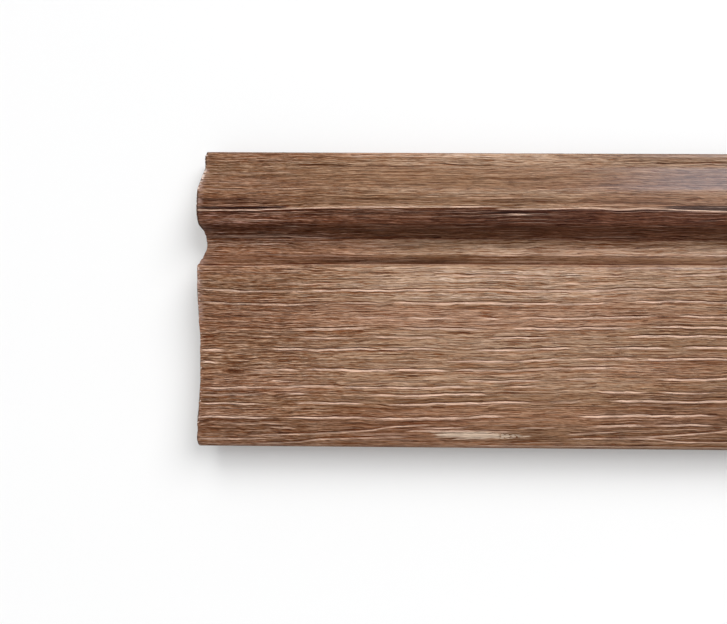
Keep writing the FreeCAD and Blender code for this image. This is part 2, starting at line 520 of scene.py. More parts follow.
@dataclass(frozen=True)
class LongGrooves:
    """All the long grooves that are cut into the front."""

    # Each groove is dark at its bottom and pale on its lower wall: dark pores and whitened film, and partly
    # painted shade and painted light, as on a groove lit from above.
    rows: tuple[GrooveRow, ...] = (
        GrooveRow(-0.48),
        GrooveRow(-0.14, depth=0.16, dark=1.0, in_every_line=True),
        GrooveRow(0.30, depth=0.08, pale=1.0),
        GrooveRow(0.88, dark=0.3),
    )
    shown_length: float = 216.0
    first_gap: float = 60.0
    gap: Pair = (8.0, 90.0)
    reach: Pair = (25.0, 130.0)
    dark_share: float = 0.15
    dark_strength: Pair = (0.5, 0.9)
    pale_strength: Pair = (0.4, 1.0)
    longest_fade: float = 6.0
    fade_share: float = 0.3
    flicker: float = 0.25
    flicker_waves: Pair = (5.3, 13.0)
    seed: int = 5
    lines: tuple[GrainLine, ...] = (
        GrainLine(4.9, ((8, 17, -0.5), (38, 65, -0.7), (90, 121, -0.8), (180, 216, -0.7))),
        GrainLine(8.4, ((0, 40, 0.15), (60, 90, -0.2), (130, 190, 0.1))),
        GrainLine(12.7, ((0, 30, 0.15), (52, 80, -0.25), (120, 150, 0.1))),
        GrainLine(16.0, ((0, 50, 0.15), (75, 95, -0.2), (150, 200, 0.12))),
        GrainLine(19.6, ((10, 60, -0.3), (100, 140, 0.12))),
        GrainLine(31.0, ((33, 41, 0.3), (90, 120, 0.15))),
        GrainLine(33.9, ((0, 56, 0.25), (150, 180, 0.15))),
        GrainLine(37.0, ((15, 35, 0.35), (60, 90, 0.25))),
        GrainLine(41.6, ((20, 60, 0.2), (110, 160, 0.25))),
        GrainLine(50.4, ((98, 142, 0.55), (150, 172, 0.35), (182, 216, 0.6))),
        GrainLine(53.2, ((30, 60, 0.3), (140, 165, 0.3))),
        GrainLine(56.0, ((0, 44, 0.8), (44, 96, 0.65), (96, 216, 0.8))),
        GrainLine(61.1, ((0, 47, 0.7), (54, 72, 0.5), (77, 165, 0.65), (172, 216, 0.85))),
        GrainLine(64.0, ((20, 34, -0.6), (90, 118, -0.5))),
        GrainLine(
            66.9,
            (
                (3, 22, -0.8),
                (62, 72, 0.5),
                (82, 101, 0.75),
                (112, 121, 0.5),
                (128, 184, 0.8),
                (189, 216, 0.75),
            ),
        ),
        GrainLine(71.1, ((36, 68, 0.9), (79, 114, 0.8), (124, 172, 1.0), (178, 216, 0.75))),
        GrainLine(74.7, ((38, 62, 0.55), (68, 97, 0.6), (116, 142, 0.7), (169, 216, 0.9))),
        GrainLine(
            79.2,
            (
                (0, 11, 0.8),
                (28, 72, 1.0),
                (72, 97, 0.75),
                (110, 150, 0.9),
                (161, 188, 0.85),
                (191, 216, 0.75),
            ),
        ),
        GrainLine(83.6, ((0, 8, 0.7), (98, 147, 0.85), (150, 175, 0.7), (176, 216, 0.95))),
        GrainLine(87.1, ((20, 42, 0.6), (42, 101, 1.0), (101, 167, 0.75))),
        GrainLine(
            91.4,
            ((28, 38, 0.5), (106, 138, 1.0), (145, 161, 0.6), (166, 182, -0.9), (182, 216, 0.85)),
        ),
        GrainLine(93.7, ((0, 57, 0.7), (57, 111, 0.8), (121, 138, 0.5))),
        GrainLine(96.6, ((0, 27, 0.65), (35, 44, 0.6), (68, 116, 0.65), (158, 179, 0.65), (182, 206, 0.6))),
        GrainLine(100.1, ((0, 27, 0.7), (38, 67, 0.75), (75, 132, 0.8), (140, 153, 0.4), (164, 216, 0.75))),
        GrainLine(105.6, ((0, 31, 0.8), (35, 70, 0.5), (70, 123, 0.6), (150, 206, 0.85))),
        GrainLine(109.3, ((28, 39, 0.4), (87, 108, 0.5), (155, 178, 0.65), (181, 204, 0.7))),
    )

    def strengths(self, along: np.ndarray) -> np.ndarray:
        """Works out how strongly each groove shows along the board.

        Args:
            along: distances from the left end.

        Returns:
            A row for each groove, negative where it is a dark line.
        """
        draw = np.random.default_rng(self.seed)
        rows = []
        for line in self.lines:
            marks = list(line.marks)
            start = self.shown_length + draw.uniform(0.0, self.first_gap)
            while start < along[-1]:
                end = start + draw.uniform(*self.reach)
                dark = draw.random() < self.dark_share
                full = -draw.uniform(*self.dark_strength) if dark else draw.uniform(*self.pale_strength)
                marks.append((start, end, full))
                start = end + draw.uniform(*self.gap)
            strength = np.zeros_like(along)
            for begin, end, full in marks:
                fade = min(self.longest_fade, self.fade_share * (end - begin))
                strength += full * faded(along - begin, fade) * faded(end - along, fade)
            fast, slow = (np.sin(along / wave + line.drop) for wave in self.flicker_waves)
            rows.append(strength * (1.0 + self.flicker * fast * slow))
        return np.array(rows)


@dataclass(frozen=True)
class BoardGrid:
    """The points of the front: their columns by the distance from the left end, and their rows by the walk.

    A row's lane counts the rows of all grooves, in the order of the grooves. A row outside them has NO_LANE.
    """

    path: FrontPath
    along: np.ndarray
    walks: np.ndarray
    lanes: np.ndarray


@dataclass(frozen=True)
class BakeMap:
    """How the board is laid out flat for its baked colours: strips of its skin, with both ends below."""

    name: str = "OFBake"
    strips: int = 3
    margin: float = 0.004
    ends_height: float = 0.12
    front_share: float = 0.8
    strip_room: float = 1.02
    end_corner: Pair = (0.02, 0.03)
    end_pitch: float = 0.5
    end_size: float = 0.45

    def lay(self, mesh: bpy.types.Mesh, grid: BoardGrid, ring: np.ndarray) -> None:
        """Lays the board out.

        Args:
            mesh: the board's mesh.
            grid: the points of the front.
            ring: all points, ring by ring.
        """
        along = grid.along
        back = len(ring) - len(grid.walks)
        rest = 1.0 - self.front_share
        across = np.concatenate(
            [
                grid.walks / grid.path.length * self.front_share,
                self.front_share + rest * np.arange(1, back + 2) / (back + 1),
            ]
        )
        length = along[-1] / self.strips
        height = (1.0 - self.ends_height) / self.strips
        row, column = np.meshgrid(np.arange(len(ring)), np.arange(len(along) - 1), indexing="ij")
        middle = 0.5 * (along[column] + along[column + 1])
        strip = np.minimum((middle / length).astype(int), self.strips - 1)
        corners = []
        for down, ahead in ((0, 0), (1, 0), (1, 1), (0, 1)):
            left = (along[column + ahead] - strip * length) / (length * self.strip_room)
            left = self.margin + (1.0 - 2.0 * self.margin) * left
            up = self.margin + (height - 2.0 * self.margin) * across[row + down]
            corners.append([left, self.ends_height + height * strip + up])
        skin = np.array(corners).transpose(2, 3, 0, 1).reshape(-1, 2)
        width = np.ptp(ring[:, 0, 1])
        ends = []
        for number, end in enumerate((ring[::-1, 0], ring[:, -1])):
            flat = (end[:, 1:] + [0.5 * width, 0.0]) / width * self.end_size
            ends.append(flat + self.end_corner + [self.end_pitch * number, 0.0])
        layer = mesh.uv_layers.new(name=self.name)
        layer.uv.foreach_set("vector", np.concatenate([skin, *ends]).astype(np.float32).ravel())


@dataclass
class MouldedBoard:
    """The whole board: the filmed front with its long grooves, the two sawn ends and the grooved back."""

    node: str = "skirting_board"
    section: BoardSection = field(default_factory=BoardSection)
    flow: GrainFlow = field(default_factory=GrainFlow)
    grooves: LongGrooves = field(default_factory=LongGrooves)
    glue: GlueGroove = field(default_factory=GlueGroove)
    bake_map: BakeMap = field(default_factory=BakeMap)
    end_columns: tuple[float, ...] = (0.0, 0.35, 0.8, 1.5)
    end_length: float = 3.0
    near_step: float = 2.4
    far_step: float = 6.0
    near_length: float = 240.0
    widest_gap: float = 2.2
    tight_gap: float = 0.8
    tight_zone: Pair = (24.0, 50.0)
    tight_margin: float = 1.0
    narrowest_gap: float = 0.12
    gap_slack: float = 0.05
    nose_drop: float = 25.9
    nose_rows: tuple[float, ...] = (-0.9, -0.5, -0.25, 0.0, 0.25, 0.5, 0.9)
    edge_rounds: Pair = (3.6, 5.0)
    edge_rows: int = 6
    still_reach: float = 1.0
    still_fade: float = 5.0
    foot_still_reach: float = 4.0
    foot_still_fade: float = 6.0
    saw_bite: float = 0.45
    saw_drift: tuple[Pair, ...] = (
        (0.0, 0.6),
        (4.0, 0.0),
        (9.0, 0.5),
        (18.0, 0.1),
        (44.0, 0.0),
        (50.0, 0.35),
        (64.0, 0.4),
        (94.0, 1.15),
        (106.0, 0.7),
        (120.0, 0.8),
    )
    saw_reach: float = 2.4
    unbitten: Pair = (9.0, 15.0)
    saw_seed: int = 3
    crease: float = 50.0

    def build(self, materials: Sequence[bpy.types.Material]) -> bpy.types.Object:
        """Makes the board and dresses it.

        Args:
            materials: the film and the core, in the order of Face.

        Returns:
            The board.
        """
        low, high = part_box(self.node)
        grid = self.grid((high.x - low.x) / MM)
        walk, flow = self.strayed(grid)
        marks, cut = self.cut(grid)
        drop, height = grid.path.at(walk) - grid.path.out(walk) * cut
        left = low.x / MM
        lengthways = grid.along + self.ragged(grid, drop[:, 0]) + left
        front = np.stack([lengthways, high.y / MM - drop, np.minimum(height, high.z / MM)], axis=-1)
        back = np.array([[[x, y, z] for x in grid.along + left] for y, z in self.glue.outline()])
        ring = np.concatenate([front, back])
        mesh = bpy.data.meshes.new(self.node + "_skin")
        mesh.from_pydata((ring.reshape(-1, 3) * MM).tolist(), [], self.faces(*ring.shape[:2]))
        mesh.update()
        drops = np.clip(drop, 0.0, self.section.face_height)
        self.store(mesh, "grain_place", np.stack(np.broadcast_arrays(grid.along, flow, drops), axis=-1))
        self.store(mesh, "grain_marks", marks)
        self.dress(mesh, materials, (len(grid.walks) - 1) * (len(grid.along) - 1))
        self.bake_map.lay(mesh, grid, ring)
        board = bpy.data.objects.new("grained_board", mesh)
        bpy.context.scene.collection.objects.link(board)
        return board

    def grid(self, length: float) -> BoardGrid:
        """Places the columns and the rows of points.

        Args:
            length: the board's length.

        Returns:
            The grid, whose columns are closer together near the left end and at the sawn ends.
        """
        cut = np.array(self.end_columns)
        near = np.arange(self.near_step, self.near_length, self.near_step)
        count = round((length - self.end_length - self.near_length) / self.far_step)
        far = np.linspace(self.near_length, length - self.end_length, count + 1)
        path = FrontPath(self.section)
        walks, lanes = zip(*self.rows(path))
        along = np.concatenate([cut, near, far, length - cut[::-1]])
        return BoardGrid(path, along, np.array(walks), np.array(lanes))

    def rows(self, path: FrontPath) -> list[tuple[float, int]]:
        """Places the rows of points round the front.

        Args:
            path: the front of the section.

        Returns:
            The walk to each row, and its lane.
        """
        top, foot = path.at_drop(0.0), path.at_drop(self.section.face_height)
        nose = path.at_drop(self.nose_drop)
        walks = [0.0, path.length, top, foot, *(nose + offset for offset in self.nose_rows)]
        for step in range(1, self.edge_rows):
            walks.append(top + step * self.edge_rounds[0] / self.edge_rows)
            walks.append(foot - step * self.edge_rounds[1] / self.edge_rows)
        fixed = [(walk, NO_LANE) for walk in walks]
        for number, line in enumerate(self.grooves.lines):
            middle = path.at_drop(line.drop)
            first = number * len(self.grooves.rows)
            fixed += [(middle + row.offset, first + place) for place, row in enumerate(self.grooves.rows)]
        fixed = sorted(set(fixed))
        tight_start, tight_end = (path.at_drop(drop) for drop in self.tight_zone)
        rows = [fixed[0]]
        for spot in fixed[1:]:
            start = rows[-1][0]
            gap = spot[0] - start
            tight = tight_start < spot[0] < tight_end + self.tight_margin
            widest = self.tight_gap if tight else self.widest_gap
            fills = math.ceil(gap / widest - self.gap_slack) - 1
            rows += [(start + gap * (k + 1) / (fills + 1), NO_LANE) for k in range(fills)]
            if gap > self.narrowest_gap or spot[1] != NO_LANE:
                rows.append(spot)
        rows[-1] = (path.length, NO_LANE)
        return rows

    def strayed(self, grid: BoardGrid) -> tuple[np.ndarray, np.ndarray]:
        """Lets the rows stray with the grain, but not at the nose and the two long edges.

        Args:
            grid: the points of the front.

        Returns:
            The walk to each point, and the mean place of the grain line that runs through it.
        """
        walks = grid.walks
        top, foot = grid.path.at_drop(0.0), grid.path.at_drop(self.section.face_height)
        nose = grid.path.at_drop(self.nose_drop)
        sway = self.flow.sway(grid.along[None, :], (walks - top)[:, None])
        free = faded(walks - top - self.still_reach, self.still_fade)
        free = free * faded(foot - self.foot_still_reach - walks, self.foot_still_fade)
        free = free * faded(np.abs(walks - nose) - self.still_reach, self.still_fade)
        strayed = walks[:, None] + free[:, None] * sway
        return strayed, strayed - top - sway

    def ragged(self, grid: BoardGrid, drops: np.ndarray) -> np.ndarray:
        """Works out how far the saw's teeth bit past the two ends, and how far the cut drifts.

        Args:
            grid: the points of the front.
            drops: the drop of each row.

        Returns:
            How far each point moves inwards.
        """
        draw = np.random.default_rng(self.saw_seed)
        walks = grid.walks
        bites = self.saw_bite * draw.random((2, len(walks))) ** 2.0
        bites[:, (walks < self.unbitten[0]) | (walks > walks[-1] - self.unbitten[1])] = 0.0
        bites += np.interp(drops, *zip(*self.saw_drift))
        left = faded(self.saw_reach - grid.along, self.saw_reach)
        right = faded(self.saw_reach - grid.along[-1] + grid.along, self.saw_reach)
        return bites[0][:, None] * left - bites[1][:, None] * right

    def cut(self, grid: BoardGrid) -> tuple[np.ndarray, np.ndarray]:
        """Cuts the grooves.

        Args:
            grid: the points of the front.

        Returns:
            The pale and the dark of each point, and how deep it lies below the smooth front.
        """
        strengths = self.grooves.strengths(grid.along)
        marks = np.zeros((len(grid.walks), len(grid.along), 3), np.float32)
        cut = np.zeros(marks.shape[:2])
        for number, lane in enumerate(grid.lanes):
            if lane == NO_LANE:
                continue
            line, place = divmod(int(lane), len(self.grooves.rows))
            row = self.grooves.rows[place]
            strength = np.abs(strengths[line]) if row.in_every_line else np.clip(strengths[line], 0.0, None)
            marks[number, :, 0] = row.pale * strength
            marks[number, :, 1] = row.dark * strength
            cut[number] = row.depth * strength
        return marks, cut

    @staticmethod
    def faces(count: int, steps: int) -> list[list[int]]:
        """Joins the rings of points into faces and closes the two sawn ends.

        Args:
            count: points in a ring.
            steps: rings along the board.

        Returns:
            The corners of each face, row by row, and last those of the left and the right end.
        """
        row, column = np.meshgrid(np.arange(count), np.arange(steps - 1), indexing="ij")
        here = row * steps + column
        below = (row + 1) % count * steps + column
        skin = np.stack([here, below, below + 1, here + 1], axis=-1).reshape(-1, 4)
        left = [row * steps for row in range(count)]
        return [*skin.tolist(), left[::-1], [first + steps - 1 for first in left]]

    @staticmethod
    def store(mesh: bpy.types.Mesh, name: str, numbers: np.ndarray) -> None:
        """Stores three numbers for each point of the front, which come first, and zeros for the back.

        Args:
            mesh: the board's mesh.
            name: the attribute's name.
            numbers: the numbers.
        """
        every = np.zeros(3 * len(mesh.vertices), np.float32)
        every[: numbers.size] = numbers.ravel()
        layer = mesh.attributes.new(name, "FLOAT_VECTOR", "POINT")
        layer.data.foreach_set("vector", every)

    def dress(self, mesh: bpy.types.Mesh, materials: Sequence[bpy.types.Material], filmed: int) -> None:
        """Gives each face its material and smooth shading.

        Args:
            mesh: the board's mesh.
            materials: the film and the core.
            filmed: how many faces the film covers, which come first.
        """
        for material in materials:
            mesh.materials.append(material)
        kinds = np.full(len(mesh.polygons), Face.CORE.value, np.int32)
        kinds[:filmed] = Face.FILM.value
        mesh.polygons.foreach_set("material_index", kinds)
        mesh.polygons.foreach_set("use_smooth", np.ones(len(kinds), bool))
        mesh.set_sharp_from_angle(angle=math.radians(self.crease))


@dataclass(frozen=True)
class FilmPlace:
    """A place on the film: a vector that follows the grain, the distance from the left end, and the drop."""

    tree: NodeTree
    vector: Socket
    along: Value
    drop: Value


@dataclass(frozen=True)
class Spots:
    """Soft spots of noise: their size each way, shift and detail, and any ramp that picks them out."""

    cell: tuple[float, ...]
    shift: float
    detail: float
    pick: Pair | None = None

    def lay(self, tree: NodeTree, place: Socket) -> Value:
        """Strews the spots over places."""
        spots = tree.noise(place, self.cell, self.shift, self.detail)
        return spots.ramp(*self.pick) if self.pick else spots


@dataclass(frozen=True)
class Fibre:
    """One layer of the grain: the length and thickness of its fibres, and how strongly they show."""

    length: float
    thickness: float
    strength: float


@dataclass(frozen=True)
class Zone:
    """A lighter or darker stretch of the film between two drops, with its soft edge and its tone.

    It runs along the whole board, or between two places along it with a soft edge of their own.
    """

    drop: Pair
    soft: float
    tone: float = 1.0
    along: Pair | None = None
    along_soft: float = 0.0

    def mask(self, at: FilmPlace) -> Value:
        """Is 1 inside the zone and fades out past its edges.

        Args:
            at: the place on the film.

        Returns:
            The mask.
        """
        across = at.drop.within(*self.drop, self.soft)
        return at.along.within(*self.along, self.along_soft) * across if self.along else across

    def lay(self, at: FilmPlace) -> Value:
        """The tone that it gives to a place on the film."""
        return self.mask(at) * self.tone


def blended(zones: Sequence[Zone], at: FilmPlace) -> Value:
    """Adds up the tones of zones, which may overlap."""
    return sum((zone.lay(at) for zone in zones[1:]), zones[0].lay(at))


@dataclass(frozen=True)
class Stroke:
    """One line that wanders off the grain.

    The points are places along the board and drops from its top edge. The line is pale where pale is above
    0, and has a dark line beside it, above it where the side is negative.
    """

    points: tuple[Pair, ...]
    pale: float
    dark: float = 0.0
    side: float = -0.6
    half_width: float = 0.42
    fade: float = 5.0
    least_rise: float = 0.1

    def draw(self, at: FilmPlace) -> tuple[Value, Value]:
        """Draws the line.

        Args:
            at: the place on the film.

        Returns:
            How pale and how dark it makes the film.
        """
        places, spots = zip(*self.points)
        start, end, low = places[0], places[-1], min(spots)
        reach = end - start
        rise = max(max(spots) - low, self.least_rise)
        knots = [((place - start) / reach, (spot - low) / rise) for place, spot in self.points]
        share = (at.along - start) / reach
        bent = at.tree.node("ShaderNodeFloatCurve", {"points": knots}, {"Value": share})
        off = at.drop - (Value(at.tree, bent.outputs[0]) * rise + low)
        shown = at.along.within(start + self.fade, end - self.fade, self.fade)
        pale = (1.0 - abs(off) / self.half_width).clamp() * shown * self.pale
        dark = (1.0 - abs(off - self.side) / self.half_width).clamp() * shown * self.dark
        return pale, dark


@dataclass(frozen=True)
class Scuff:
    """The long pale scuff by the foot, where the film is rubbed."""

    start: float = 89.0
    end: float = 133.0
    middle: float = 113.9
    slope: float = 0.012
    half_width: float = 1.7
    fullness: float = 1.15
    streak: Spots = Spots((14.0, 0.5), 71.0, 2.0)
    streak_gain: float = 2.4
    edge: Pair = (0.05, 0.45)
    tip: float = 0.12
    colour: Triple = (0.60, 0.45, 0.34)
    share: float = 0.94
    specks: Spots = Spots((1.3, 0.8), 77.0, 1.0, (0.52, 0.64))
    speck_span: Pair = (121.0, 128.0)
    speck_fade: float = 2.0

    def rub(self, at: FilmPlace, colour: Socket) -> Socket:
        """Rubs the film.

        Args:
            at: the place on the film.
            colour: the film's colour so far.

        Returns:
            The film's colour with the scuff.
        """
        centre = 0.5 * (self.start + self.end)
        reach = 0.5 * (self.end - self.start)
        slim = (1.0 - ((at.along - centre) / reach) ** 2.0).clamp()
        off = abs(at.drop - (self.middle + (at.along - centre) * self.slope)) / self.half_width
        streak = (self.streak.lay(at.tree, at.vector) - NOISE_MEAN) * self.streak_gain
        inside = (slim * self.fullness - off + streak).ramp(*self.edge)
        specks = self.specks.lay(at.tree, at.vector) * at.along.within(*self.speck_span, self.speck_fade)
        rubbed = inside * self.share * (1.0 - specks) * slim.ramp(0.0, self.tip)
        return at.tree.mix(rubbed, colour, self.colour)


@dataclass(frozen=True)
class SawnEdge:
    """The film beside the saw cut: stretched pale and chipped, with painted shade along the cut itself."""

    pale_reach: Pair = (3.4, 0.6)
    stretch: Spots = Spots((3.0, 0.9), 101.0, 2.0, (0.34, 0.56))
    pale_zones: tuple[Zone, ...] = (Zone((9.0, 23.0), 2.0), Zone((48.0, 68.0), 4.0))
    pale_least: float = 0.15
    tint: Triple = (0.46, 0.29, 0.235)
    share: float = 0.9
    cut_shade_reach: Pair = (1.0, 0.3)
    # Painted shade: a thin dark line along the cut, where the film turns away over the edge.
    cut_shade_zones: tuple[Zone, ...] = (
        Zone((0.5, 6.6), 0.6, 0.8),
        Zone((19.0, 32.0), 1.5, 0.64),
        Zone((100.0, 120.0), 4.0, 0.4),
    )
    cut_shade: Triple = (0.045, 0.022, 0.014)
    chip_reach: Pair = (1.6, 0.4)
    chips: Spots = Spots((2.2, 1.2), 107.0, 1.0)
    chip_zones: tuple[Zone, ...] = (
        Zone((8.0, 12.6), 0.4, 0.22),
        Zone((14.0, 17.5), 0.8, 0.12),
        Zone((50.0, 116.0), 1.0, -0.04),
    )
    chip_pick: Pair = (0.60, 0.66)
    unchipped: Zone = Zone((18.5, 48.0), 1.5)
    chip: Triple = (0.86, 0.68, 0.58)

    def wear(self, at: FilmPlace, colour: Socket) -> Socket:
        """Pales and chips the film, and paints shade along the cut.

        Args:
            at: the place on the film.
            colour: the film's colour so far.

        Returns:
            The film's colour with its worn edge.
        """
        tree = at.tree
        zone = (blended(self.pale_zones, at) + self.pale_least).clamp()
        pale = at.along.ramp(*self.pale_reach) * self.stretch.lay(tree, at.vector) * zone
        worn = tree.mix(pale * self.share, colour, self.tint)
        # Paints the thin line of shade along the cut.
        worn = tree.mix(at.along.ramp(*self.cut_shade_reach) * blended(self.cut_shade_zones, at), worn, self.cut_shade)
        chips = (self.chips.lay(tree, at.vector) + blended(self.chip_zones, at)).ramp(*self.chip_pick)
        gone = at.along.ramp(*self.chip_reach) * chips
        return tree.mix(gone * (1.0 - self.unchipped.mask(at)), worn, self.chip)


@dataclass(frozen=True)
class GrainFilm:
    """The brown wood-grain film on the front.

    The channels say how strongly red, green and blue follow a change of tone: in a broad darker zone of
    print or painted shade, in a dark fibre, in anything pale, and in the painted shade of the recess under
    the nose.
    """

    olive: Triple = (0.285, 0.157, 0.0865)
    rose: Triple = (0.310, 0.154, 0.0850)
    rosy_bands: Spots = Spots((140.0, 14.0), 1.0, 1.0, (0.34, 0.66))
    rosy_end: float = 0.35
    rosy_end_reach: Pair = (100.0, 20.0)
    rosy_fade: float = 0.35
    rosy_fade_reach: Pair = (20.0, 170.0)
    rosy_lip: float = 0.5
    rosy_lip_reach: Pair = (24.0, 10.0)
    shade_channels: Triple = (0.88, 1.06, 1.14)
    dark_channels: Triple = (0.70, 1.26, 1.78)
    pale_channels: Triple = (0.77, 1.00, 1.28)
    recess_shade_channels: Triple = (1.0, 1.48, 1.60)
    fibres: tuple[Fibre, ...] = (
        Fibre(150.0, 0.36, 0.60),
        Fibre(45.0, 0.34, 0.75),
        Fibre(11.0, 0.34, 0.85),
        Fibre(5.0, 0.33, 0.75),
        Fibre(2.0, 0.33, 0.60),
    )
    fibre_shift: float = 3.0
    fibre_detail: float = 0.5
    shift_step: float = 7.0
    short_grain: float = 12.0
    short_gain: float = 0.7
    left_end: Pair = (80.0, 20.0)
    left_contrast: float = 0.25
    pores: tuple[Fibre, ...] = (Fibre(10.0, 0.36, 0.75), Fibre(50.0, 0.36, 0.65))
    pore_shift: float = 51.0
    pore_detail: float = 1.0
    pore_pick: Pair = (0.63, 0.68)
    brightest: float = 0.85
    bright_knee: float = 0.6
    wobble: Spots = Spots((9.0, 3.0), 17.0, 2.0)
    wobble_reach: float = 0.3
    veins: Spots = Spots((50.0, 0.34), 91.0, 1.0, (0.60, 0.74))
    vein_strength: float = 0.42
    lip: Pair = (26.0, 22.0)
    lip_calm: float = 0.55
    lip_contrast: float = -0.15
    dashes: Spots = Spots((16.0, 1.4), 37.0, 1.0, (0.40, 0.62))
    dash_gain: Pair = (0.35, 1.1)
    breaks: Spots = Spots((7.0, 1.4), 97.0, 1.0)
    break_gain: Pair = (0.45, 1.1)
    pale_gain: float = 2.3
    pale_calm: float = 0.7
    pale_share: float = 0.90
    groove: Triple = (0.77, 0.520, 0.395)
    groove_grain: float = 0.35
    dark_line: float = 1.4
    # Painted shade: the cove under the nose is darkened where the nose overhangs it, more so towards the
    # right, and less at the cove's foot; its fibres also show more strongly there.
    recess: Zone = Zone((25.5, 35.6), 0.6, -0.50)
    recess_contrast: float = 0.6
    recess_shade_right: float = 0.40
    recess_shade_right_reach: Pair = (50.0, 130.0)
    recess_shade_foot: Zone = Zone((31.8, 35.6), 0.8, 0.28)
    roughness: float = 0.5
    gloss: float = 0.02
    coat: float = 0.15
    coat_roughness: float = 0.32
    bump_depth: float = 0.00046
    scuff: Scuff = Scuff()
    sawn_edge: SawnEdge = SawnEdge()
    # Broad lighter and darker zones of the film, some along the whole board and some near the left end. They
    # are partly the print's own bands and partly painted light and shade: a painted pool of light on the
    # face, a painted sheen and a darker patch on the lip towards the right, a brighter band on the rise out
    # of the cove, and painted shade along the top edge and about the nose.
    painted_light_and_tone_zones: tuple[Zone, ...] = (
        Zone((-1, 0.4), 0.35, -1.1),
        Zone((0.9, 5.4), 0.5, 0.08),
        Zone((11.4, 15.6), 0.8, -0.14),
        Zone((20.4, 22.4), 0.8, -0.18),
        Zone((36, 41.6), 0.8, 0.38),
        Zone((42.6, 45.8), 0.8, -0.54),
        Zone((108.5, 115.4), 2.5, -0.24),
        Zone((50, 96), 4, 0.39, (84, 155), 72),
        Zone((47.5, 60), 1, 0.27, (85, 165), 55),
        Zone((39.4, 41.8), 0.8, 0.32, (85, 300), 50),
        Zone((0.3, 5.4), 0.8, 0.34, (72, 150), 30),
        Zone((0.3, 2.2), 0.6, 0.48, (64, 132), 14),
        Zone((7.2, 16.4), 1, 0.13, (62, 150), 20),
        Zone((7, 16.4), 1, -0.2, (192, 300), 14),
        Zone((17.2, 20.4), 0.8, 0.48, (90, 158), 24),
        Zone((17.2, 22), 0.6, 0.16, (182, 300), 12),
        Zone((16.9, 20.5), 0.8, 0.22, (54, 76), 10),
        Zone((15, 22.6), 0.6, -0.24, (160, 180), 8),
        Zone((23.2, 24.4), 0.5, 0.34, (80, 162), 12),
        Zone((3.2, 6.4), 1.5, 0.22, (100, 240), 30),
        Zone((21.6, 24.8), 0.9, -0.55, (-30, 24), 16),
        Zone((42.6, 45.6), 0.8, 0.2, (-30, 30), 20),
        Zone((23.7, 25.2), 0.5, -1.8, (188, 300), 6),
        Zone((28, 31), 0.6, 0.28, (-30, 20), 30),
        Zone((25.5, 27.2), 0.4, -0.32, (50, 84), 10),
        Zone((26.6, 27.4), 0.3, -0.36, (-30, 20), 10),
        Zone((38.6, 41), 0.8, -0.32, (40, 96), 14),
        Zone((43.8, 46), 0.6, -0.44, (54, 104), 8),
        Zone((25, 30), 0.8, -0.36, (102, 150), 12),
        Zone((96, 108), 4, -0.26, (190, 260), 30),
        Zone((42, 43.6), 0.8, 0.22, (76, 300), 20),
        Zone((45, 46.4), 0.6, -0.34, (40, 98), 14),
        Zone((39.4, 41.8), 0.8, -0.22, (-30, 40), 26),
        Zone((44, 66), 6, 0.28, (200, 300), 25),
        Zone((60, 76), 8, 0.1, (90, 150), 30),
        Zone((46.6, 49), 0.8, 0.18, (54, 98), 10),
        Zone((49.6, 53), 1, 0.22, (100, 142), 12),
        Zone((104.8, 109), 1.5, 0.14, (108, 160), 12),
        Zone((116.6, 119), 0.8, 0.26, (105, 150), 16),
    )
    strokes: tuple[Stroke, ...] = (
        # The first two strokes are the pale line along the nose: film whitened over the arris, and partly a
        # painted highlight where the arris catches the light, with painted shade just under it.
        Stroke(
            ((-6, 26.0), (19, 26.0), (32, 25.5), (52, 24.8), (73, 24.5), (96, 24.3), (121, 24.0)),
            pale=1.5,
            dark=1.2,
            side=0.75,
            half_width=0.38,
        ),
        Stroke(
            ((117, 25.1), (133, 25.1), (155, 24.5), (166, 25.1), (177, 24.7), (190, 25.2), (212, 25.7)),
            pale=1.4,
            dark=1.0,
            side=0.75,
            half_width=0.38,
        ),
        Stroke(((-6, 25.1), (14, 25.1), (26, 24.9), (38, 24.4)), 0.0, 3.6, 0.0, 0.52),
        Stroke(((112, 27.0), (122, 26.4), (132, 26.6), (141, 26.2)), 0.0, 2.0, 0.0),
        Stroke(((121, 27.5), (126, 27.2), (133, 27.4)), 1.4),
        Stroke(((0, 35.3), (26, 35.3), (56, 35.1)), 0.0, 0.8, 0.0),
        Stroke(((-6, 47.6), (22, 48.0), (40, 47.3), (52, 47.7)), 0.3, 1.4, -0.55, 0.40),
        Stroke(((40, 47.2), (100, 46.9), (216, 46.6)), 0.3, 1.0, -0.5, 0.36),
        Stroke(((-6, 36.4), (30, 37.0), (60, 36.2)), 0.3, 0.7, -0.5, 0.34),
        Stroke(((24, 114.4), (41, 114.1), (58, 113.2), (69, 112.4), (77, 111.1), (94, 110.0)), 0.9, 0.6),
        Stroke(((0, 116.3), (14, 116.2), (28, 115.9)), 0.8, 0.5),
        Stroke(((22, 118.1), (38, 117.5), (51, 116.0), (69, 115.4), (85, 114.9)), 0.8, 0.6),
        Stroke(((82, 112.7), (104, 112.4), (126, 112.6)), 1.0, 0.5),
        Stroke(((126, 111.2), (132, 111.0), (143, 110.7)), 0.9, 0.3),
        Stroke(((145, 113.6), (156, 112.9), (168, 112.1)), 0.7, 0.6),
        Stroke(((176, 114.3), (189, 113.3), (198, 112.6), (212, 111.2)), 0.9, 0.6),
        Stroke(((145, 116.0), (159, 114.8), (177, 114.8), (193, 116.0), (212, 115.9)), 0.8, 0.7),
        Stroke(((110, 118.3), (140, 118.2), (171, 118.1), (212, 118.7)), 0.6, 0.5),
    )

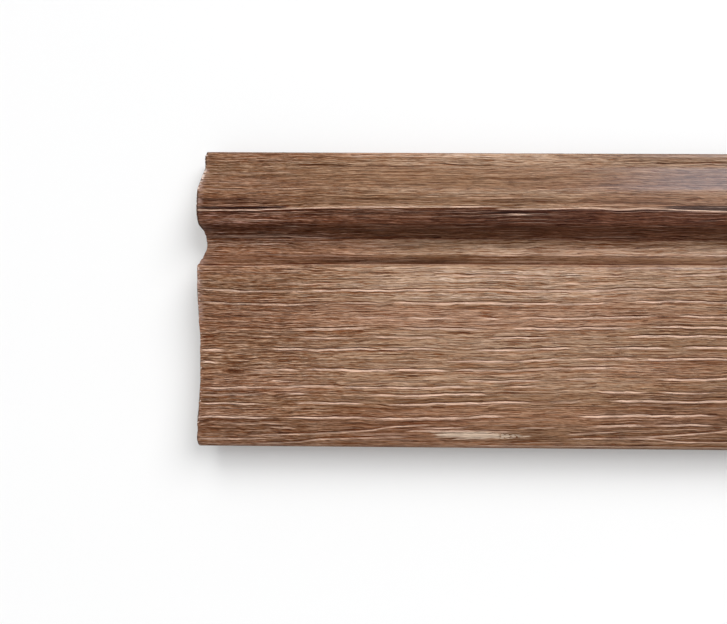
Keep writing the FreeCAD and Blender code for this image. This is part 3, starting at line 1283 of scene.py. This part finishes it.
    def base(self, at: FilmPlace) -> Socket:
        """Mixes the two browns in broad bands, rosier at the left end, olive on the lip and to the right.

        Args:
            at: the place on the film.

        Returns:
            The film's colour before its grain.
        """
        rosy = self.rosy_bands.lay(at.tree, at.vector) + at.along.ramp(*self.rosy_end_reach) * self.rosy_end
        rosy = rosy - at.along.ramp(*self.rosy_fade_reach) * self.rosy_fade
        rosy = rosy - at.drop.ramp(*self.rosy_lip_reach) * self.rosy_lip
        return at.tree.mix(rosy.clamp(), self.olive, self.rose)

    def lines(self, at: FilmPlace, grooves: Sequence[Value]) -> tuple[Value, Value]:
        """Draws the long grooves and the strokes.

        Args:
            at: the place on the film.
            grooves: the pale and the dark of the grooves.

        Returns:
            How pale and how dark the lines are.
        """
        least, gain = self.dash_gain
        pale = grooves[0] * self.pale_gain
        dark = grooves[1] * (least + self.dashes.lay(at.tree, at.vector) * gain)
        for stroke in self.strokes:
            paler, darker = stroke.draw(at)
            pale = pale + paler
            dark = dark + darker
        least, gain = self.break_gain
        return pale * (least + self.breaks.lay(at.tree, at.vector) * gain), dark

    def grain(self, at: FilmPlace, bent: Socket) -> Value:
        """Lays the fine fibres, the shortest of them stronger near the left end, and thin dark pores.

        Args:
            at: the place on the film.
            bent: the place moved by the wobble of the fibres.

        Returns:
            How much they lighten or darken the film.
        """
        grain = 0.0
        for number, fibre in enumerate(self.fibres):
            shift = self.fibre_shift + self.shift_step * number
            layer = at.tree.noise(bent, (fibre.length, fibre.thickness), shift, self.fibre_detail)
            strength = fibre.strength
            if fibre.length < self.short_grain:
                strength = (at.along.ramp(*self.left_end) * self.short_gain + 1.0) * strength
            grain = (layer - NOISE_MEAN) * strength + grain
        for number, pore in enumerate(self.pores):
            shift = self.pore_shift + self.shift_step * number
            layer = at.tree.noise(bent, (pore.length, pore.thickness), shift, self.pore_detail)
            grain = grain - layer.ramp(*self.pore_pick) * pore.strength
        return at.tree.maths("SMOOTH_MIN", grain, self.brightest, self.bright_knee)

    def shaded(self, tree: NodeTree, colour: Socket, tone: Value, dark_channels: Triple) -> Socket:
        """Darkens a colour where the tone is below 0, and pales it where the tone is above.

        Args:
            tree: the material's nodes.
            colour: the colour.
            tone: the tone.
            dark_channels: the channels of the dark side.

        Returns:
            The changed colour.
        """
        colour = tree.toned(colour, tree.maths("MINIMUM", tone, 0.0), dark_channels)
        return tree.toned(colour, tree.maths("MAXIMUM", tone, 0.0), self.pale_channels)

    def build(self) -> bpy.types.Material:
        """Makes the film's material.

        Returns:
            The material.
        """
        tree = NodeTree("grain_film")
        place, (along, _, drop) = tree.place("grain_place")
        at = FilmPlace(tree, place, along, drop)
        grooves = tree.place("grain_marks")[1]
        base = self.base(at)
        pale, dark = self.lines(at, grooves)
        bent = tree.shifted(place, (self.wobble.lay(tree, place) - NOISE_MEAN) * self.wobble_reach)
        lip = drop.ramp(*self.lip)
        vein = self.veins.lay(tree, bent) * self.vein_strength * (1.0 - lip * self.lip_calm)
        pale = (pale + vein).clamp()
        grain = self.grain(at, bent)
        recess = self.recess.mask(at)
        contrast = 1.0 + along.ramp(*self.left_end) * self.left_contrast + lip * self.lip_contrast
        contrast = contrast + recess * self.recess_contrast
        tone = grain * (1.0 - pale * self.pale_calm) * contrast - dark * self.dark_line
        # Painted light and shade, with the print's broad bands, from the zones of painted light and tone.
        colour = self.shaded(tree, base, blended(self.painted_light_and_tone_zones, at), self.shade_channels)
        colour = self.shaded(tree, colour, tone, self.dark_channels)
        # Painted shade in the cove under the nose, deeper towards the right and lighter at its foot.
        deeper_shade = 1.0 + along.ramp(*self.recess_shade_right_reach) * self.recess_shade_right
        depth = recess * self.recess.tone * deeper_shade * (1.0 - self.recess_shade_foot.lay(at))
        colour = tree.toned(colour, depth, self.recess_shade_channels)
        # The pale of the grooves and the strokes: whitened film, and partly painted light on groove walls
        # that face up and on the nose's arris.
        lit = tree.toned(self.groove, grain * self.groove_grain, self.pale_channels)
        colour = tree.mix(pale * self.pale_share, colour, lit)
        colour = self.sawn_edge.wear(at, self.scuff.rub(at, colour))
        relief = {"Distance": self.bump_depth, "Height": grain - grooves[1] * self.dark_line}
        bump = tree.node("ShaderNodeBump", None, {"Strength": 1.0, **relief})
        return tree.finish(
            {
                "Base Color": colour,
                "Roughness": self.roughness,
                "Specular IOR Level": self.gloss,
                "Coat Weight": self.coat,
                "Coat Roughness": self.coat_roughness,
                "Normal": bump.outputs[0],
            }
        )


@dataclass(frozen=True)
class FoamedCore:
    """The pale foamed plastic that shows on the sawn ends and the back."""

    body: Triple = (0.62, 0.52, 0.44)
    shade: Triple = (0.42, 0.33, 0.27)
    cells: Spots = Spots((0.0009, 0.0007, 0.0007), 2.0, 3.0)
    saw: Spots = Spots((0.004, 0.0008, 0.02), 4.0, 2.0)
    cell_share: float = 0.6
    pick: Pair = (0.38, 0.62)
    roughness: float = 0.75
    bump_strength: float = 0.4
    bump_depth: float = 0.0003

    def build(self) -> bpy.types.Material:
        """Makes the core's material.

        Returns:
            The material.
        """
        tree = NodeTree("foamed_core")
        at = tree.node("ShaderNodeTexCoord").outputs["Object"]
        cells, saw = self.cells.lay(tree, at), self.saw.lay(tree, at)
        worn = (cells * self.cell_share + saw * (1.0 - self.cell_share)).ramp(*self.pick)
        relief = {"Strength": self.bump_strength, "Distance": self.bump_depth, "Height": cells + saw}
        bump = tree.node("ShaderNodeBump", None, relief)
        colour = tree.mix(worn, self.shade, self.body)
        return tree.finish({"Base Color": colour, "Roughness": self.roughness, "Normal": bump.outputs[0]})


@dataclass(frozen=True, kw_only=True)
class Light:
    """What each light has: a name, a power and a colour."""

    name: str
    power: float
    colour: Triple = (1.0, 1.0, 1.0)

    def hang(self, data: bpy.types.Light, turn: Quaternion) -> bpy.types.Object:
        """Hangs the light.

        Args:
            data: the lamp.
            turn: which way it is turned.

        Returns:
            The light.
        """
        data.energy = self.power
        data.color = self.colour
        lamp = bpy.data.objects.new(self.name, data)
        lamp.rotation_mode = "QUATERNION"
        lamp.rotation_quaternion = turn
        bpy.context.scene.collection.objects.link(lamp)
        return lamp


@dataclass(frozen=True, kw_only=True)
class Lamp(Light):
    """A large soft light: where it hangs, where it points, and its sides.

    One that is sheen only shows as a reflection and lights nothing else.
    """

    place: Triple
    target: Triple
    sides: Pair
    sheen_only: bool = False

    def build(self) -> None:
        """Makes the light."""
        data = bpy.data.lights.new(self.name, "AREA")
        data.shape = "RECTANGLE"
        data.size, data.size_y = self.sides
        way = Vector(self.target) - Vector(self.place)
        lamp = self.hang(data, way.to_track_quat("-Z", "Y"))
        lamp.location = self.place
        lamp.visible_camera = False
        lamp.visible_diffuse = not self.sheen_only


@dataclass(frozen=True, kw_only=True)
class Window(Light):
    """A wide and far light: how high it stands, which way round it lies, and how wide it is, in degrees."""

    lift: float
    bearing: float
    width: float

    def build(self) -> None:
        """Makes the light."""
        data = bpy.data.lights.new(self.name, "SUN")
        data.angle = math.radians(self.width)
        lift, bearing = math.radians(self.lift), math.radians(self.bearing)
        level = math.cos(lift)
        way = Vector((level * math.cos(bearing), level * math.sin(bearing), math.sin(lift)))
        self.hang(data, way.to_track_quat("Z", "Y"))


@dataclass
class Studio:
    """The pale floor, the soft lights and the camera over the left end of the board."""

    floor_side: float = 14.0
    floor_gap: float = 0.0002
    floor_colour: Triple = (0.885, 0.885, 0.885)
    floor_roughness: float = 0.9
    world_strength: float = 0.46
    lights: tuple[Lamp | Window, ...] = (
        Lamp(name="softbox", power=5.0, place=(0.0, 0.1, 1.5), target=(0.0, 0.1, 0.0), sides=(2.4, 1.0)),
        Window(name="window_right", power=2.1, lift=37.0, bearing=42.0, width=34.0),
        Window(name="window_top", power=0.88, lift=36.0, bearing=90.0, width=26.0),
        Lamp(
            name="cool_window",
            power=23.0,
            colour=(0.62, 0.78, 1.0),
            place=(-0.22, 1.18, 0.49),
            target=(-0.98, 0.04, 0.01),
            sides=(0.45, 0.60),
            sheen_only=True,
        ),
    )
    eye: Triple = (-1.10969, -0.00561, 0.18223)
    yaw: float = 0.398
    roll: float = 0.384
    focal_pixels: float = 424.1
    photo_width: int = 727
    sensor: float = 36.0
    shift: float = -0.080
    clip_start: float = 0.01

    def build_floor(self) -> None:
        """Lays the floor a hair under the board's back, so that the two faces don't coincide."""
        tree = NodeTree("studio_floor")
        material = tree.finish({"Base Color": (*self.floor_colour, 1.0), "Roughness": self.floor_roughness})
        half = 0.5 * self.floor_side
        corners = [(-half, -half, 0.0), (half, -half, 0.0), (half, half, 0.0), (-half, half, 0.0)]
        mesh = bpy.data.meshes.new("studio_floor")
        mesh.from_pydata(corners, [], [(0, 1, 2, 3)])
        mesh.materials.append(material)
        floor = bpy.data.objects.new("studio_floor", mesh)
        floor.location.z = -self.floor_gap
        bpy.context.scene.collection.objects.link(floor)

    def build_world(self) -> None:
        """Fills the room with even white light."""
        world = bpy.data.worlds.new("studio_world")
        world.use_nodes = True
        back = world.node_tree.nodes["Background"]
        back.inputs["Color"].default_value = (1.0, 1.0, 1.0, 1.0)
        back.inputs["Strength"].default_value = self.world_strength
        bpy.context.scene.world = world
        bpy.context.scene.view_settings.view_transform = "Standard"

    def build_camera(self) -> None:
        """Hangs the camera over the board."""
        data = bpy.data.cameras.new("photo_camera")
        data.sensor_width = self.sensor
        data.lens = self.focal_pixels * self.sensor / self.photo_width
        data.shift_x = self.shift
        data.clip_start = self.clip_start
        camera = bpy.data.objects.new("photo_camera", data)
        yaw = Matrix.Rotation(math.radians(self.yaw), 4, "Y")
        roll = Matrix.Rotation(math.radians(self.roll), 4, "Z")
        camera.matrix_world = Matrix.Translation(self.eye) @ (yaw @ roll)
        bpy.context.scene.collection.objects.link(camera)
        bpy.context.scene.camera = camera

    def build(self) -> None:
        """Sets up the whole studio."""
        self.build_camera()
        self.build_floor()
        self.build_world()
        for light in self.lights:
            light.build()


def main() -> None:
    """Builds the board in its studio and reports each piece."""
    logging.basicConfig(level=logging.INFO, format="%(name)s: %(message)s")
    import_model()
    Studio().build()
    board = MouldedBoard().build([GrainFilm().build(), FoamedCore().build()])
    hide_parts("skirting_board")
    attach(board, "root")
    LOG.info("%s has %d faces", board.name, len(board.data.polygons))


if __name__ == "__main__":
    main()
